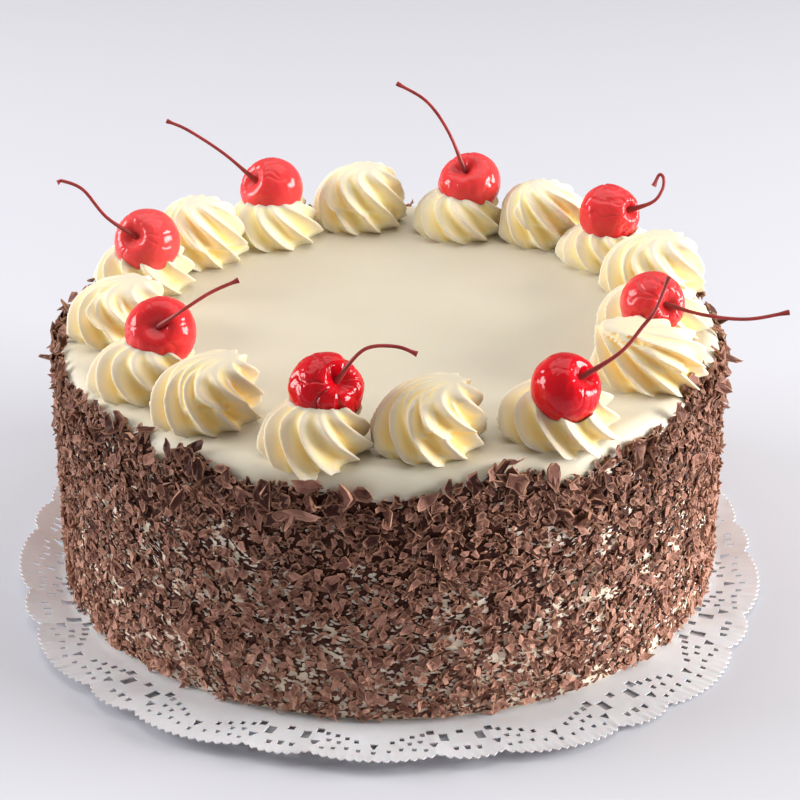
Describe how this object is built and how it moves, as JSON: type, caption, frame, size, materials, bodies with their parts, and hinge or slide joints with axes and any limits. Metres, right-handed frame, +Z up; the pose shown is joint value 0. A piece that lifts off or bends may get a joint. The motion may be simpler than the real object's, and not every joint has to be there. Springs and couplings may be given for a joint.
{
  "type": "black forest cake",
  "caption": "Round cream layer cake with its side coated in chocolate shavings, a ring of piped rosettes and stemmed cherries on top, standing on a lace paper doily.",
  "frame": {"origin": "centre of the cake's foot, on the plane that the doily rests on", "axes": "+Z up along the cake's own axis, -Y towards the front that the picture shows, +X to its right"},
  "size_m": [0.2619, 0.2707, 0.1429],
  "materials": {
    "paper": "matt white embossed paper with punched lace holes",
    "cream": "smooth spread buttercream, soft sheen",
    "piped_cream": "smooth piped buttercream with sharp ridges, soft sheen",
    "chocolate": "thin dark chocolate shavings with paler broken edges",
    "cherry": "wet glossy translucent red skin",
    "cherry_stem": "smooth dark red stalk"
  },
  "bodies": {
    "root": {"doily": "paper", "cake_body": "cream", "shaving_coat": "chocolate", "rosette_01": "piped_cream", "rosette_02": "piped_cream", "rosette_03": "piped_cream", "rosette_04": "piped_cream", "rosette_05": "piped_cream", "rosette_06": "piped_cream", "rosette_07": "piped_cream", "rosette_08": "piped_cream", "rosette_09": "piped_cream", "rosette_10": "piped_cream", "rosette_11": "piped_cream", "rosette_12": "piped_cream", "rosette_13": "piped_cream", "rosette_14": "piped_cream", "rosette_15": "piped_cream", "rosette_16": "piped_cream", "cherry_01": "cherry", "stem_01": "cherry_stem", "cherry_03": "cherry", "stem_03": "cherry_stem", "cherry_05": "cherry", "stem_05": "cherry_stem", "cherry_07": "cherry", "stem_07": "cherry_stem", "cherry_09": "cherry", "stem_09": "cherry_stem", "cherry_11": "cherry", "stem_11": "cherry_stem", "cherry_13": "cherry", "stem_13": "cherry_stem", "cherry_15": "cherry", "stem_15": "cherry_stem"}
  },
  "joints": []
}
